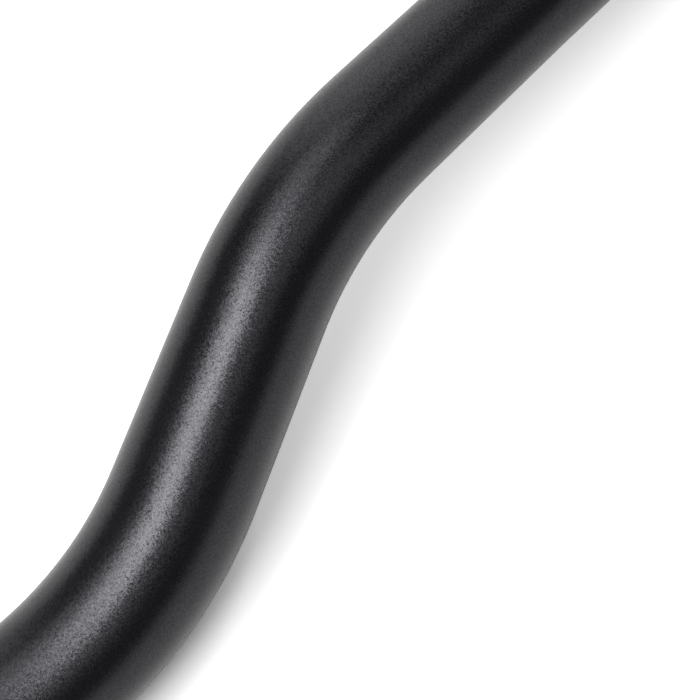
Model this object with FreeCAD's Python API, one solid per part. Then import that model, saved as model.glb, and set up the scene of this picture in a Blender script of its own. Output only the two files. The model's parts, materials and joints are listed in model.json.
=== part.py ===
import FreeCAD, Part
import math
import os

# Riser handlebar: one aluminium tube, thinned towards the grips and bent twice on each side.
# It is drawn as it sits in the stem, with X along the clamp, Y up the rise and Z to the front.
# It is then rolled about X until it lies on its clamp and its two ends, with +Z up.
# Sizes are in millimetres and degrees, and the origin is the middle of the clamp.

# Tube section in the stem and under the grips
CLAMP_DIAMETER = 25.4
CLAMP_WALL = 2.4
GRIP_DIAMETER = 22.2
GRIP_WALL = 1.9

# Lengths, of which the width is taken over the ends
OVERALL_WIDTH = 680.0
CLAMP_LENGTH = 70.0
RAMP_LENGTH = 34.0
TAPER_PAST_BEND = 33.0

# Bends, with radii at the middle of the tube
RAMP_ANGLE = 31.7
LOWER_BEND_RADIUS = 82.0
UPPER_BEND_RADIUS = 75.0
UPSWEEP = 5.0
BACKSWEEP = 9.0

# Broken edges of the two cut ends, outside and inside
END_CHAMFER = 0.4

# How far the boring tool runs out past each end
BORE_RUNOUT = 5.0

ORIGIN = FreeCAD.Vector(0, 0, 0)
ALONG = FreeCAD.Vector(1, 0, 0)


def ramp_direction():
    """Way up the ramp, in the plane of the rise."""
    angle = math.radians(RAMP_ANGLE)
    return FreeCAD.Vector(math.cos(angle), math.sin(angle), 0)


def grip_direction():
    """Way out along the grip, swept up and back."""
    up = math.tan(math.radians(UPSWEEP))
    back = math.tan(math.radians(BACKSWEEP))
    return FreeCAD.Vector(1, up, -back).normalize()


class Bend:
    """A round bend of the tube's middle line, from one straight to the next."""

    def __init__(self, start, before, after, radius):
        self.start = start
        self.axis = before.cross(after).normalize()
        self.turn = math.degrees(before.getAngle(after))
        self.centre = start + self.axis.cross(before) * radius
        self.end = self.point(1.0)

    def point(self, share):
        """Point on the middle line at a share of the turn."""
        turned = FreeCAD.Rotation(self.axis, self.turn * share)
        return self.centre + turned.multVec(self.start - self.centre)


class MiddleLine:
    """Points along the middle line of the +X half, from the clamp out to the end."""

    def __init__(self):
        self.ramp = ramp_direction()
        self.grip = grip_direction()
        self.clamp_end = ALONG * (CLAMP_LENGTH / 2)
        self.lower = Bend(self.clamp_end, ALONG, self.ramp, LOWER_BEND_RADIUS)
        ramp_end = self.lower.end + self.ramp * RAMP_LENGTH
        self.upper = Bend(ramp_end, self.ramp, self.grip, UPPER_BEND_RADIUS)
        self.taper_end = self.upper.end + self.grip * TAPER_PAST_BEND
        self.grip_length = self.reach_of_end() - self.taper_end.x
        self.grip_length /= self.grip.x
        self.end = self.taper_end + self.grip * self.grip_length

    def reach_of_end(self):
        """X of the middle of the end face, whose outer edge makes the overall width."""
        edge = GRIP_DIAMETER / 2 - END_CHAMFER
        return OVERALL_WIDTH / 2 - edge * math.sqrt(1 - self.grip.x ** 2)


def ring(centre, direction, radius):
    """Round section of the tube."""
    return Part.Wire([Part.makeCircle(radius, centre, direction)])


def bent_rod(line, radius):
    """Lower bend, of one thickness."""
    bend = line.lower
    section = Part.Face(ring(bend.start, ALONG, radius))
    return section.revolve(bend.centre, bend.axis, bend.turn)


def tapered_rod(line, thick, thin):
    """Ramp, upper bend and first stretch of the grip, thinning evenly along the middle line."""
    foot = line.lower.end
    bend = line.upper
    spine = Part.Wire([
        Part.LineSegment(foot, bend.start).toShape(),
        Part.Arc(bend.start, bend.point(0.5), bend.end).toShape(),
        Part.LineSegment(bend.end, line.taper_end).toShape(),
    ])
    sweep = Part.BRepOffsetAPI.MakePipeShell(spine)
    sweep.add(ring(foot, line.ramp, thick))
    sweep.add(ring(line.taper_end, line.grip, thin))
    sweep.build()
    sweep.makeSolid()
    return sweep.shape()


def rod(line, thick, thin, runout):
    """Solid bar of the handlebar's shape, with both halves and a runout past each end."""
    half = [
        bent_rod(line, thick),
        tapered_rod(line, thick, thin),
        Part.makeCylinder(thin, line.grip_length + runout, line.taper_end, line.grip),
    ]
    mirrored = [piece.mirror(ORIGIN, ALONG) for piece in half]
    clamp = Part.makeCylinder(thick, CLAMP_LENGTH, line.clamp_end * -1, ALONG)
    return clamp.fuse(half + mirrored)


def end_edges(tube, line):
    """Outer and inner edges of the two end faces."""
    far = line.end.x
    middles = [line.end, FreeCAD.Vector(-far, line.end.y, line.end.z)]
    round_edges = [edge for edge in tube.Edges if isinstance(edge.Curve, Part.Circle)]
    return [
        edge
        for edge in round_edges
        if any(edge.Curve.Center.isEqual(middle, END_CHAMFER / 2) for middle in middles)
    ]


def lying_roll(line):
    """Roll about X that brings the lowest points of the ends level with that of the clamp."""
    rim = line.end - line.grip * END_CHAMFER
    radius = GRIP_DIAMETER / 2

    def height_over_floor(roll):
        turned = FreeCAD.Rotation(ALONG, roll)
        lean = turned.multVec(line.grip).z
        lowest = turned.multVec(rim).z - radius * math.sqrt(1 - lean ** 2)
        return lowest + CLAMP_DIAMETER / 2

    low, high = 0.0, 90.0
    while high - low > 1e-9:
        middle = (low + high) / 2
        if height_over_floor(middle) < 0:
            low = middle
        else:
            high = middle
    return low


def handlebar():
    """The whole bar, hollow from end to end, lying as it comes to rest."""
    line = MiddleLine()
    clamp_radius = CLAMP_DIAMETER / 2
    grip_radius = GRIP_DIAMETER / 2
    outside = rod(line, clamp_radius, grip_radius, 0.0)
    inside = rod(line, clamp_radius - CLAMP_WALL, grip_radius - GRIP_WALL, BORE_RUNOUT)
    tube = outside.cut(inside).removeSplitter()
    tube = tube.makeChamfer(END_CHAMFER, end_edges(tube, line))
    return tube.rotate(ORIGIN, ALONG, lying_roll(line))


os.makedirs("parts", exist_ok=True)
handlebar().exportStep("parts/handlebar.step")
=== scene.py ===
import bpy
import json
import math
from bpy.props import FloatProperty, FloatVectorProperty, IntProperty, PointerProperty
from mathutils import Matrix, Vector


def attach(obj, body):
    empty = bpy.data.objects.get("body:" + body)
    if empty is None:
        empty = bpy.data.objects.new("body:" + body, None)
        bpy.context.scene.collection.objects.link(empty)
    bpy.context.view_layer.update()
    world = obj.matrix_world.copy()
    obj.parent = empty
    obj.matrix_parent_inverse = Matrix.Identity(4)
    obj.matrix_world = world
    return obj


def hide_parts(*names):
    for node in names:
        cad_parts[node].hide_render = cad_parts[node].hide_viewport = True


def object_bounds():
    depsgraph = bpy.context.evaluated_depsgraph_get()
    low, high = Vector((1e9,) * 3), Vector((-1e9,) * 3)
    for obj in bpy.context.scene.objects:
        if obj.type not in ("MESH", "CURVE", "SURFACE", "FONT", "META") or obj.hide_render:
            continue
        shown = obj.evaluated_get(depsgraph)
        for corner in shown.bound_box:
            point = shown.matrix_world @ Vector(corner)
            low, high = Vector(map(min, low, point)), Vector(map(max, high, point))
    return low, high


bl_info = {
    "name": "Riser handlebar",
    "version": (1, 0, 0),
    "blender": (4, 5, 0),
    "location": "3D View > Sidebar > Handlebar",
    "description": "Builds a riser handlebar on its frame, with its finish, floor, light and camera",
    "category": "Object",
}

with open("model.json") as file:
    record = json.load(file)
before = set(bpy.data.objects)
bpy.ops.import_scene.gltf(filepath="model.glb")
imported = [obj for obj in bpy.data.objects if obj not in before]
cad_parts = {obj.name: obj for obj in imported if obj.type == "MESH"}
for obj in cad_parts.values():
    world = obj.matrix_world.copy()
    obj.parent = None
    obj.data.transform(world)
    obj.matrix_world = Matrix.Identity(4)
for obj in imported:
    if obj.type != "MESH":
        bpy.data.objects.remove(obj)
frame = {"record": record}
CAD_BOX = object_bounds()
MOUNTS = {mount["name"]: mount for mount in frame["record"]["mounts"]}
CLAMP = MOUNTS["stem_clamp"]
GRIP = MOUNTS["left_grip"]
PLUG = MOUNTS["left_end_plug"]
SLOT = frame["record"]["materials"][0]
MM = 0.001

# Largest miss between the built grip and the frame's, and the gap that closes at a seam
GRIP_MISS = 0.05 * MM
SEAM_GAP = 0.001 * MM

# Edges folded by more than this stay crisp
CRISP_FOLD = math.radians(20)

# Middle of the numbers from 0 to 1 that patterns give
MIDDLE = 0.5

DYE_DETAIL = 3.0
SHADE_SAMPLES = 4
LAMP_DISTANCE = 2.0


def direction(azimuth, elevation):
    """Unit vector from angles in degrees, with the azimuth from +X towards +Y."""
    around = math.radians(azimuth)
    over = math.radians(elevation)
    return Vector((math.cos(around) * math.cos(over), math.sin(around) * math.cos(over), math.sin(over)))


class BarSizes(bpy.types.PropertyGroup):
    """Sizes of the tube. Bend radii are at the middle of the tube."""

    clamp_diameter: FloatProperty(
        name="Clamp diameter",
        description="Outside of the tube in the stem",
        default=2 * CLAMP["dims"]["r_mm"] * MM,
        unit="LENGTH",
    )
    clamp_wall: FloatProperty(
        name="Clamp wall",
        description="Thickness of the wall in the stem",
        default=2.4 * MM,
        unit="LENGTH",
    )
    clamp_length: FloatProperty(
        name="Clamp length",
        description="Straight between the two lower bends",
        default=CLAMP["dims"]["length_mm"] * MM,
        unit="LENGTH",
    )
    grip_diameter: FloatProperty(
        name="Grip diameter",
        description="Outside of the tube under the grips",
        default=2 * GRIP["dims"]["r_mm"] * MM,
        unit="LENGTH",
    )
    grip_bore: FloatProperty(
        name="Grip bore",
        description="Inside of the tube under the grips",
        default=2 * PLUG["dims"]["r_mm"] * MM,
        unit="LENGTH",
    )
    ramp_angle: FloatProperty(
        name="Ramp angle",
        description="Slope of the ramp against the clamp",
        default=math.radians(31.7),
        subtype="ANGLE",
    )
    ramp_length: FloatProperty(
        name="Ramp length",
        description="Straight between the lower and the upper bend",
        default=34 * MM,
        unit="LENGTH",
    )
    lower_bend: FloatProperty(
        name="Lower bend",
        description="Radius of the bend beside the clamp",
        default=82 * MM,
        unit="LENGTH",
    )
    upper_bend: FloatProperty(
        name="Upper bend",
        description="Radius of the bend before the grip",
        default=75 * MM,
        unit="LENGTH",
    )
    upsweep: FloatProperty(
        name="Upsweep",
        description="Rise of the grip against the clamp",
        default=math.radians(5),
        subtype="ANGLE",
    )
    backsweep: FloatProperty(
        name="Backsweep",
        description="Turn of the grip towards the rider",
        default=math.radians(9),
        subtype="ANGLE",
    )
    end_chamfer: FloatProperty(
        name="End chamfer",
        description="Broken edges of the cut ends",
        default=0.4 * MM,
        unit="LENGTH",
    )
    bend_steps: IntProperty(
        name="Bend steps",
        description="Points along the middle line of each bend",
        default=64,
        min=8,
    )
    rows: IntProperty(
        name="Rows",
        description="Rings of points along the bar",
        default=260,
        min=8,
    )
    sides: IntProperty(
        name="Sides",
        description="Points around each ring",
        default=128,
        min=8,
    )


class BlackFinish(bpy.types.PropertyGroup):
    """Blasted and anodised skin of the tube."""

    colour: FloatVectorProperty(
        name="Colour",
        description="Dyed black of the skin",
        default=SLOT["base_color"],
        subtype="COLOR",
        min=0.0,
        max=1.0,
    )
    sheen_tint: FloatVectorProperty(
        name="Tint of the gloss",
        description="Colour that the skin gives to what it reflects",
        default=(0.88, 0.865, 1.0),
        subtype="COLOR",
        min=0.0,
        max=1.0,
    )
    dye_patch: FloatProperty(
        name="Dye patches",
        description="Size of the patches in which the dye is deeper or paler",
        default=25 * MM,
        unit="LENGTH",
    )
    dye_range: FloatProperty(
        name="Dye range",
        description="Share by which the dye is deeper or paler than its colour",
        default=0.2,
        min=0.0,
        max=1.0,
        subtype="FACTOR",
    )
    refraction: FloatProperty(
        name="Refraction",
        description="Refractive index of the dyed skin",
        default=1.35,
        min=1.0,
    )
    roughness: FloatProperty(
        name="Roughness",
        description="Spread of the gloss",
        default=0.27,
        min=0.0,
        max=1.0,
        subtype="FACTOR",
    )
    facet_roughness: FloatProperty(
        name="Facet roughness",
        description="How far the roughness differs from facet to facet",
        default=0.1,
        min=0.0,
        max=1.0,
        subtype="FACTOR",
    )
    dye_roughness: FloatProperty(
        name="Dye roughness",
        description="How far the roughness differs between deep and pale dye",
        default=0.06,
        min=0.0,
        max=1.0,
        subtype="FACTOR",
    )
    grain: FloatProperty(
        name="Grain",
        description="Size of the facets left by the blasting",
        default=0.19 * MM,
        unit="LENGTH",
    )
    lean: FloatProperty(
        name="Lean",
        description="How far the facets left by the blasting lean, each its own way",
        default=0.18,
    )
    seal: FloatProperty(
        name="Seal",
        description="Gloss of the seal over the best sealed facets, down to none over the others",
        default=0.75,
        min=0.0,
        max=1.0,
        subtype="FACTOR",
    )


class StudioStage(bpy.types.PropertyGroup):
    """Floor, light and camera."""

    floor_colour: FloatVectorProperty(
        name="Floor",
        description="Colour of the floor",
        default=(0.82, 0.82, 0.82),
        subtype="COLOR",
        min=0.0,
        max=1.0,
    )
    floor_size: FloatProperty(
        name="Floor size",
        description="Length of each side of the floor",
        default=40.0,
        unit="LENGTH",
    )
    floor_lift: FloatProperty(
        name="Floor lift",
        description="Glow of a white room that keeps the open floor white in the picture",
        default=0.82,
    )
    # Reach of the painted shade that ambient occlusion puts on the floor's glow around the bar
    shade_reach: FloatProperty(
        name="Shade reach",
        description="How far the bar keeps the glow of the room off the floor",
        default=0.3,
        unit="LENGTH",
    )
    # Reach of the darker painted shadow where the bar nearly touches the floor
    touch_reach: FloatProperty(
        name="Touch reach",
        description="Height under the bar up to which its shadow is darkest",
        default=8 * MM,
        unit="LENGTH",
    )
    mirror_lift: FloatProperty(
        name="Mirrored lift",
        description="Glow that brings the lit floor up to white where it is mirrored",
        default=0.1,
    )
    key_from: FloatVectorProperty(
        name="Key from",
        description="Side that the main light shines from",
        default=direction(-157.9, 64.1),
        subtype="DIRECTION",
    )
    key_strength: FloatProperty(
        name="Key strength",
        description="Strength of the main light",
        default=1.6,
    )
    key_spread: FloatProperty(
        name="Key spread",
        description="Angle that the main light fills",
        default=math.radians(24.0),
        subtype="ANGLE",
    )
    wing_from: FloatVectorProperty(
        name="Wing from",
        description="Side that the screen beside the main light shines from",
        default=direction(158.2, 66.2),
        subtype="DIRECTION",
    )
    wing_strength: FloatProperty(
        name="Wing strength",
        description="Strength of the screen beside the main light",
        default=0.7,
    )
    wing_spread: FloatProperty(
        name="Wing spread",
        description="Angle that the screen beside the main light fills",
        default=math.radians(20.5),
        subtype="ANGLE",
    )
    top_from: FloatVectorProperty(
        name="Top from",
        description="Side that the second light shines from",
        default=direction(110.3, 64.9),
        subtype="DIRECTION",
    )
    top_strength: FloatProperty(
        name="Top strength",
        description="Strength of the second light",
        default=0.64,
    )
    top_spread: FloatProperty(
        name="Top spread",
        description="Angle that the second light fills",
        default=math.radians(39.4),
        subtype="ANGLE",
    )
    front_from: FloatVectorProperty(
        name="Front from",
        description="Side that the faint light in front shines from",
        default=direction(-85.8, 67.6),
        subtype="DIRECTION",
    )
    front_strength: FloatProperty(
        name="Front strength",
        description="Strength of the faint light in front",
        default=0.28,
    )
    front_spread: FloatProperty(
        name="Front spread",
        description="Angle that the faint light in front fills",
        default=math.radians(42.9),
        subtype="ANGLE",
    )
    room_strength: FloatProperty(
        name="Room",
        description="Brightness of the room above the horizon",
        default=0.01,
    )
    horizon_height: FloatProperty(
        name="Horizon height",
        description="Angle above the floor up to which the horizon is white",
        default=math.radians(4.88),
        subtype="ANGLE",
    )
    horizon_end: FloatProperty(
        name="Horizon end",
        description="Angle above the floor at which the horizon has faded into the room",
        default=math.radians(7.18),
        subtype="ANGLE",
    )
    side_from: FloatVectorProperty(
        name="Side from",
        description="Middle of the brighter side of the room",
        default=direction(73.7, 20.4),
        subtype="DIRECTION",
    )
    side_strength: FloatProperty(
        name="Side strength",
        description="Brightness of the brighter side of the room",
        default=1.69,
    )
    side_width: FloatProperty(
        name="Side width",
        description="Angle from its middle up to which the brighter side is even",
        default=math.radians(17.64),
        subtype="ANGLE",
    )
    side_end: FloatProperty(
        name="Side end",
        description="Angle from its middle at which the brighter side has faded into the room",
        default=math.radians(33.59),
        subtype="ANGLE",
    )
    camera_target: FloatVectorProperty(
        name="Target",
        description="Point in the middle of the picture",
        default=(0.115076, 0.012369, 0.008182),
        subtype="XYZ",
        unit="LENGTH",
    )
    camera_distance: FloatProperty(
        name="Distance",
        description="From the camera to its target",
        default=0.7,
        unit="LENGTH",
    )
    camera_elevation: FloatProperty(
        name="Elevation",
        description="Height of the camera over the horizon",
        default=math.radians(72.32),
        subtype="ANGLE",
    )
    camera_roll: FloatProperty(
        name="Roll",
        description="Turn of the camera about its line of sight",
        default=math.radians(36.837),
        subtype="ANGLE",
    )
    picture_width: FloatProperty(
        name="Picture width",
        description="Width that the picture takes in at the target",
        default=0.118485,
        unit="LENGTH",
    )


class Value:
    """Output of a node. Signs between values add Math nodes to its tree."""

    def __init__(self, nodes, socket):
        self.nodes = nodes
        self.socket = socket

    def math(self, operation, *values):
        made = self.nodes.add("ShaderNodeMath", {"operation": operation}, dict(enumerate(values)))
        return made["Value"]

    def __add__(self, other):
        return self.math("ADD", self, other)

    def __radd__(self, other):
        return self.math("ADD", other, self)

    def __sub__(self, other):
        return self.math("SUBTRACT", self, other)

    def __rsub__(self, other):
        return self.math("SUBTRACT", other, self)

    def __mul__(self, other):
        return self.math("MULTIPLY", self, other)

    def __rmul__(self, other):
        return self.math("MULTIPLY", other, self)

    def __truediv__(self, other):
        return self.math("DIVIDE", self, other)

    def __rtruediv__(self, other):
        return self.math("DIVIDE", other, self)

    def __mod__(self, other):
        return self.math("MODULO", self, other)

    def __gt__(self, other):
        return self.math("GREATER_THAN", self, other)

    def at_least(self, other):
        return self.math("MAXIMUM", self, other)

    def at_most(self, other):
        return self.math("MINIMUM", self, other)

    def size(self):
        return self.math("ABSOLUTE", self)

    def whole(self):
        return self.math("FLOOR", self)

    def cosine(self):
        return self.math("COSINE", self)

    def sine(self):
        return self.math("SINE", self)


class Nodes:
    """A node tree while it is built."""

    def __init__(self, tree):
        self.tree = tree
        tree.nodes.clear()

    def add(self, kind, settings=None, sockets=None):
        """Adds a node, sets it up, feeds its sockets and gives its outputs by name."""
        node = self.tree.nodes.new(kind)
        for name, value in (settings or {}).items():
            setattr(node, name, value)
        inputs = [socket for socket in node.inputs if socket.enabled]
        by_name = {socket.name: socket for socket in reversed(inputs)}
        for key, value in (sockets or {}).items():
            socket = inputs[key] if isinstance(key, int) else by_name[key]
            if isinstance(value, Value):
                self.tree.links.new(value.socket, socket)
            else:
                socket.default_value = value
        return {socket.name: Value(self, socket) for socket in node.outputs if socket.enabled}

    def vector(self, operation, *vectors, scale=None):
        """A Vector Math node's vector."""
        sockets = dict(enumerate(vectors))
        if scale is not None:
            sockets["Scale"] = scale
        return self.add("ShaderNodeVectorMath", {"operation": operation}, sockets)["Vector"]

    def group_inputs(self, kinds):
        """Named inputs of a group, as values."""
        for name, kind in kinds.items():
            self.tree.interface.new_socket(name, in_out="INPUT", socket_type="NodeSocket" + kind)
        return self.add("NodeGroupInput")


def tube_tree():
    """Tree that bends a line at its corners and lays the tube's wall round it as one closed skin."""
    tree = bpy.data.node_groups.new("bent tube", "GeometryNodeTree")
    nodes = Nodes(tree)
    given = nodes.group_inputs({
        "Corners": "Geometry",
        "Bend Steps": "Int",
        "Rows": "Int",
        "Sides": "Int",
        "Clamp Radius": "Float",
        "Clamp Bore Radius": "Float",
        "Grip Radius": "Float",
        "Grip Bore Radius": "Float",
        "Taper Start": "Float",
        "Taper End": "Float",
        "End Chamfer": "Float",
        "Finish": "Material",
    })
    tree.interface.new_socket("Tube", in_out="OUTPUT", socket_type="NodeSocketGeometry")

    # Middle line, rounded at each corner by the corner's own radius
    corners = nodes.add("GeometryNodeMeshToCurve", {}, {"Mesh": given["Corners"]})["Curve"]
    bend = nodes.add("GeometryNodeInputNamedAttribute", {"data_type": "FLOAT"}, {"Name": "bend_radius"})
    line = nodes.add(
        "GeometryNodeFilletCurve",
        {"mode": "POLY"},
        {"Curve": corners, "Count": given["Bend Steps"], "Radius": bend["Attribute"]},
    )["Curve"]
    length = nodes.add("GeometryNodeCurveLength", {}, {"Curve": line})["Length"]

    # Sheet of points, out along the outside of the wall and back along the inside
    rows = given["Rows"]
    sides = given["Sides"]
    columns = sides + 1
    sheet = nodes.add("GeometryNodeMeshGrid", {}, {"Vertices X": rows * 2 + 1, "Vertices Y": columns})["Mesh"]
    index = nodes.add("GeometryNodeInputIndex")["Index"]
    row = (index / columns).whole()
    angle = (index - row * columns) * (math.tau / sides)
    step = row % (rows * 2)
    inside = step > rows - 1
    ring = step.at_most(rows * 2 - 1 - step)

    # Place of each ring, of which the last at each end closes the chamfer
    chamfer = given["End Chamfer"]
    between = (ring - 1).at_least(0).at_most(rows - 3) / (rows - 3)
    at_ends = ring.at_most(1) + (ring - (rows - 2)).at_least(0)
    along = between * (length - chamfer * 2) + at_ends * chamfer
    place = nodes.add("GeometryNodeSampleCurve", {"mode": "LENGTH"}, {"Curves": line, "Length": along})

    # Radius of each ring, thick in the clamp and thin under the grips
    reach = (along - length / 2).size()
    taper = (reach - given["Taper Start"]) / (given["Taper End"] - given["Taper Start"])
    taper = taper.at_least(0).at_most(1)
    cut = (reach - (length / 2 - chamfer)).at_least(0)
    clamp = given["Clamp Radius"]
    clamp_bore = given["Clamp Bore Radius"]
    outer = clamp + (given["Grip Radius"] - clamp) * taper - cut
    inner = clamp_bore + (given["Grip Bore Radius"] - clamp_bore) * taper + cut
    radius = outer + (inner - outer) * inside

    # Skin, with its seams closed and the broken edges kept crisp
    across = nodes.vector("CROSS_PRODUCT", place["Normal"], place["Tangent"])
    one_way = nodes.vector("SCALE", place["Normal"], scale=radius * angle.cosine())
    other_way = nodes.vector("SCALE", across, scale=radius * angle.sine())
    point = nodes.vector("ADD", place["Position"], nodes.vector("ADD", one_way, other_way))
    skin = nodes.add("GeometryNodeSetPosition", {}, {"Geometry": sheet, "Position": point})["Geometry"]
    skin = nodes.add("GeometryNodeMergeByDistance", {}, {"Geometry": skin, "Distance": SEAM_GAP})["Geometry"]
    fold = nodes.add("GeometryNodeInputMeshEdgeAngle")["Unsigned Angle"]
    skin = nodes.add("GeometryNodeSetShadeSmooth", {"domain": "FACE"}, {"Geometry": skin})["Geometry"]
    skin = nodes.add(
        "GeometryNodeSetShadeSmooth",
        {"domain": "EDGE"},
        {"Geometry": skin, "Selection": fold > CRISP_FOLD, "Shade Smooth": False},
    )["Geometry"]
    skin = nodes.add("GeometryNodeRealizeInstances", {}, {"Geometry": skin})["Geometry"]
    skin = nodes.add(
        "GeometryNodeSetMaterial",
        {},
        {"Geometry": skin, "Material": given["Finish"]},
    )["Geometry"]
    nodes.add("NodeGroupOutput", {}, {"Tube": skin})
    return tree


def blasted_black(finish):
    """Black anodised aluminium, blasted to small facets that lean their own ways and are unevenly sealed."""
    material = bpy.data.materials.new("blasted_black")
    material.use_nodes = True
    nodes = Nodes(material.node_tree)
    place = nodes.add("ShaderNodeTexCoord")["Object"]

    # Facets, each with random numbers that make its lean, the last of which also sets its gloss
    facets = nodes.add("ShaderNodeTexVoronoi", {}, {"Vector": place, "Scale": 1 / finish.grain})["Color"]
    gloss = nodes.add("ShaderNodeSeparateXYZ", {}, {"Vector": facets})["Z"]
    lean = nodes.vector("SCALE", nodes.vector("SUBTRACT", facets, [MIDDLE] * 3), scale=finish.lean)
    upright = nodes.add("ShaderNodeNewGeometry")["Normal"]
    tilted = nodes.vector("NORMALIZE", nodes.vector("ADD", upright, lean))

    # Dye, deeper or paler in wide patches
    dye = nodes.add(
        "ShaderNodeTexNoise",
        {},
        {"Vector": place, "Scale": 1 / finish.dye_patch, "Detail": DYE_DETAIL},
    )["Fac"]
    deep = [(1 - finish.dye_range) * part for part in finish.colour] + [1.0]
    pale = [(1 + finish.dye_range) * part for part in finish.colour] + [1.0]
    colour = nodes.add(
        "ShaderNodeMix",
        {"data_type": "RGBA"},
        {"Factor": dye, "A": deep, "B": pale},
    )["Result"]

    from_facets = (gloss - MIDDLE) * finish.facet_roughness
    from_dye = (dye - MIDDLE) * finish.dye_roughness
    skin = nodes.add(
        "ShaderNodeBsdfPrincipled",
        {},
        {
            "Base Color": colour,
            "Roughness": finish.roughness + from_facets + from_dye,
            "IOR": finish.refraction,
            "Specular Tint": [*finish.sheen_tint, 1.0],
            "Coat Weight": gloss * finish.seal,
            "Coat Roughness": finish.roughness,
            "Normal": tilted,
        },
    )["BSDF"]
    nodes.add("ShaderNodeOutputMaterial", {}, {"Surface": skin})
    return material


def bar_corners(sizes):
    """Corners of the +X half's middle line, each with its bend radius, and the two ends of the taper."""
    # Ramp, rolled about the clamp by as much as the frame's grip is
    up = math.tan(sizes.upsweep)
    back = math.tan(sizes.backsweep)
    drawn_grip = Vector((1, up, -back)).normalized()
    grip = Vector(GRIP["axis"])
    roll = math.atan2(grip.z, grip.y) - math.atan2(drawn_grip.z, drawn_grip.y)
    drawn_ramp = Vector((math.cos(sizes.ramp_angle), math.sin(sizes.ramp_angle), 0))
    ramp = Matrix.Rotation(roll, 3, "X") @ drawn_ramp
    turn = ramp.angle(grip)

    # Corners, where the straights would meet without the bends
    foot = sizes.lower_bend * math.tan(sizes.ramp_angle / 2)
    top = sizes.upper_bend * math.tan(turn / 2)
    lower = Vector((sizes.clamp_length / 2 + foot, 0, 0))
    upper = lower + ramp * (foot + sizes.ramp_length + top)
    wall = GRIP["dims"]["length_mm"] * MM
    end = Vector(GRIP["pos_m"]) + grip * (wall / 2 + sizes.end_chamfer)
    miss = (end - upper).cross(grip).length
    if miss > GRIP_MISS:
        raise RuntimeError(f"the upper bend misses the grip of the frame by {miss / MM:.2f} mm")

    # Taper, from the start of the ramp to the grip's straight wall, along the line from the clamp's middle
    taper_start = sizes.clamp_length / 2 + sizes.lower_bend * sizes.ramp_angle
    half = taper_start + sizes.ramp_length + sizes.upper_bend * turn + (end - upper).length - top
    taper_end = half - wall - sizes.end_chamfer
    return [(lower, sizes.lower_bend), (upper, sizes.upper_bend), (end, 0.0)], taper_start, taper_end


def mirrored(point):
    """The same point on the -X half."""
    return Vector((-point.x, point.y, point.z))


def corner_line(corners):
    """Mesh of the middle line's corners, with the bend radius at each."""
    line = bpy.data.meshes.new("bar_line")
    joins = [(i, i + 1) for i in range(len(corners) - 1)]
    line.from_pydata([point for point, radius in corners], joins, [])
    radii = line.attributes.new("bend_radius", "FLOAT", "POINT")
    radii.data.foreach_set("value", [radius for point, radius in corners])
    return line


def link(obj):
    """Shows an object in the scene."""
    bpy.context.scene.collection.objects.link(obj)
    return obj


def aim(obj, back, up, place):
    """Turns a lamp or camera so that it looks against a direction, from a place."""
    right = up.cross(back).normalized()
    turned = Matrix((right, back.cross(right), back)).transposed()
    obj.matrix_world = Matrix.Translation(place) @ turned.to_4x4()


class HANDLEBAR_OT_make_bar(bpy.types.Operator):
    """Bends and finishes the bar"""

    bl_idname = "handlebar.make_bar"
    bl_label = "Make the bar"

    def execute(self, context):
        sizes = context.scene.bar_sizes
        half, taper_start, taper_end = bar_corners(sizes)
        other_half = [(mirrored(point), radius) for point, radius in reversed(half)]
        line = corner_line(other_half + half)
        bar = link(bpy.data.objects.new("bar", line))
        tree = tube_tree()
        modifier = bar.modifiers.new("bent tube", "NODES")
        modifier.node_group = tree
        values = {
            "Bend Steps": sizes.bend_steps,
            "Rows": sizes.rows,
            "Sides": sizes.sides,
            "Clamp Radius": sizes.clamp_diameter / 2,
            "Clamp Bore Radius": sizes.clamp_diameter / 2 - sizes.clamp_wall,
            "Grip Radius": sizes.grip_diameter / 2,
            "Grip Bore Radius": sizes.grip_bore / 2,
            "Taper Start": taper_start,
            "Taper End": taper_end,
            "End Chamfer": sizes.end_chamfer,
            "Finish": blasted_black(context.scene.black_finish),
        }
        for socket in tree.interface.items_tree:
            if socket.name in values:
                modifier[socket.identifier] = values[socket.name]
        evaluated = bar.evaluated_get(context.evaluated_depsgraph_get())
        skin = bpy.data.meshes.new_from_object(evaluated)
        if not skin.polygons:
            raise RuntimeError("the bar came out empty")

        # The bare line leaves an empty slot before the one that holds the finish
        while skin.materials[0] is None:
            skin.materials.pop(index=0)
        bar.modifiers.remove(modifier)
        bar.data = skin
        bpy.data.meshes.remove(line)
        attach(bar, "root")
        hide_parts("handlebar")
        return {"FINISHED"}


def floor_material(stage):
    """Plain pale floor, brought up to white where it is seen or mirrored. The glow the camera sees is dimmed
    by ambient occlusion near the bar, a painted shadow added to the bar's cast shadow.
    """
    material = bpy.data.materials.new("pale_floor")
    material.use_nodes = True
    nodes = Nodes(material.node_tree)
    path = nodes.add("ShaderNodeLightPath")
    mirrored_or_through = path["Is Glossy Ray"].at_least(path["Is Transmission Ray"])
    # Painted shade: ambient occlusion dims the floor's glow under and beside the bar, and darkest where the
    # bar nearly touches the floor
    painted_open_shade, painted_contact_shade = [
        nodes.add("ShaderNodeAmbientOcclusion", {"samples": SHADE_SAMPLES}, {"Distance": reach})["AO"]
        for reach in (stage.shade_reach, stage.touch_reach)
    ]
    seen = path["Is Camera Ray"] * painted_open_shade * painted_contact_shade
    lift = seen * stage.floor_lift + mirrored_or_through * stage.mirror_lift
    matt = nodes.add("ShaderNodeBsdfDiffuse", {}, {"Color": [*stage.floor_colour, 1.0]})["BSDF"]
    glow = nodes.add("ShaderNodeEmission", {}, {"Strength": lift})["Emission"]
    both = nodes.add("ShaderNodeAddShader", {}, {0: matt, 1: glow})["Shader"]
    nodes.add("ShaderNodeOutputMaterial", {}, {"Surface": both})
    return material


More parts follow.
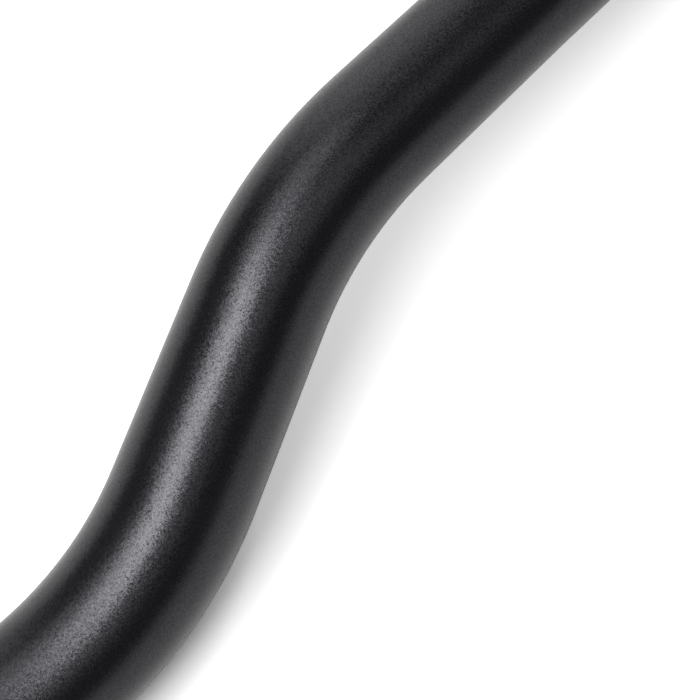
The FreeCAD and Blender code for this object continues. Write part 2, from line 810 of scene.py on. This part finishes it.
def studio_world(stage):
    """Dim room with a pale horizon and one brighter side."""
    world = bpy.data.worlds.new("studio")
    world.use_nodes = True
    nodes = Nodes(world.node_tree)
    towards = nodes.add("ShaderNodeTexCoord")["Generated"]
    height = nodes.add("ShaderNodeSeparateXYZ", {}, {"Vector": towards})["Z"]
    horizon = nodes.add(
        "ShaderNodeMapRange",
        {"interpolation_type": "SMOOTHSTEP"},
        {
            "Value": height,
            "From Min": math.sin(stage.horizon_height),
            "From Max": math.sin(stage.horizon_end),
            "To Min": 1.0,
            "To Max": 0.0,
        },
    )["Result"]
    facing = nodes.add(
        "ShaderNodeVectorMath",
        {"operation": "DOT_PRODUCT"},
        {0: towards, 1: stage.side_from},
    )["Value"]
    side = nodes.add(
        "ShaderNodeMapRange",
        {"interpolation_type": "SMOOTHSTEP"},
        {
            "Value": facing,
            "From Min": math.cos(stage.side_end),
            "From Max": math.cos(stage.side_width),
            "To Min": 0.0,
            "To Max": stage.side_strength,
        },
    )["Result"]
    strength = horizon.at_least(side).at_least(stage.room_strength)
    room = nodes.add("ShaderNodeBackground", {}, {"Strength": strength})["Background"]
    nodes.add("ShaderNodeOutputWorld", {}, {"Surface": room})
    return world


def set_lamp(name, side, strength, spread):
    """A wide, even lamp that shines from a side."""
    lamp = bpy.data.lights.new(name, "SUN")
    lamp.energy = strength
    lamp.angle = spread
    back = Vector(side).normalized()
    aim(link(bpy.data.objects.new(name, lamp)), back, Vector((0, 1, 0)), back * LAMP_DISTANCE)


class HANDLEBAR_OT_set_stage(bpy.types.Operator):
    """Sets the floor, the light and the camera"""

    bl_idname = "handlebar.set_stage"
    bl_label = "Set the stage"

    def execute(self, context):
        scene = context.scene
        stage = scene.studio_stage
        scene.view_settings.view_transform = "Standard"
        scene.world = studio_world(stage)

        # Floor, at the height of the bar's lowest point
        half = stage.floor_size / 2
        level = CAD_BOX[0].z
        square = bpy.data.meshes.new("floor")
        rim = [(-half, -half, level), (half, -half, level), (half, half, level), (-half, half, level)]
        square.from_pydata(rim, [], [(0, 1, 2, 3)])
        square.materials.append(floor_material(stage))
        link(bpy.data.objects.new("floor", square))

        set_lamp("key", stage.key_from, stage.key_strength, stage.key_spread)
        set_lamp("wing", stage.wing_from, stage.wing_strength, stage.wing_spread)
        set_lamp("top", stage.top_from, stage.top_strength, stage.top_spread)
        set_lamp("front", stage.front_from, stage.front_strength, stage.front_spread)

        # Camera, over the bar from its -Y side and rolled about its line of sight
        lens = bpy.data.cameras.new("camera")
        lens.lens = lens.sensor_width * stage.camera_distance / stage.picture_width
        camera = link(bpy.data.objects.new("camera", lens))
        back = direction(-90, math.degrees(stage.camera_elevation))
        upright = Matrix.Rotation(-stage.camera_roll, 3, back) @ Vector((0, back.z, -back.y))
        target = Vector(stage.camera_target)
        aim(camera, back, upright, target + back * stage.camera_distance)
        scene.camera = camera
        return {"FINISHED"}


class HANDLEBAR_PT_sidebar(bpy.types.Panel):
    """Sizes and looks of the handlebar"""

    bl_idname = "HANDLEBAR_PT_sidebar"
    bl_label = "Riser handlebar"
    bl_space_type = "VIEW_3D"
    bl_region_type = "UI"
    bl_category = "Handlebar"

    def draw(self, context):
        scene = context.scene
        for group in (scene.bar_sizes, scene.black_finish, scene.studio_stage):
            box = self.layout.box()
            for name in group.__annotations__:
                box.prop(group, name)
        self.layout.operator(HANDLEBAR_OT_make_bar.bl_idname)
        self.layout.operator(HANDLEBAR_OT_set_stage.bl_idname)


CLASSES = (
    BarSizes,
    BlackFinish,
    StudioStage,
    HANDLEBAR_OT_make_bar,
    HANDLEBAR_OT_set_stage,
    HANDLEBAR_PT_sidebar,
)


def register():
    for cls in CLASSES:
        bpy.utils.register_class(cls)
    bpy.types.Scene.bar_sizes = PointerProperty(type=BarSizes)
    bpy.types.Scene.black_finish = PointerProperty(type=BlackFinish)
    bpy.types.Scene.studio_stage = PointerProperty(type=StudioStage)


def unregister():
    del bpy.types.Scene.studio_stage
    del bpy.types.Scene.black_finish
    del bpy.types.Scene.bar_sizes
    for cls in reversed(CLASSES):
        bpy.utils.unregister_class(cls)


def main():
    register()
    bpy.ops.handlebar.make_bar()
    bpy.ops.handlebar.set_stage()


if __name__ == "__main__":
    main()
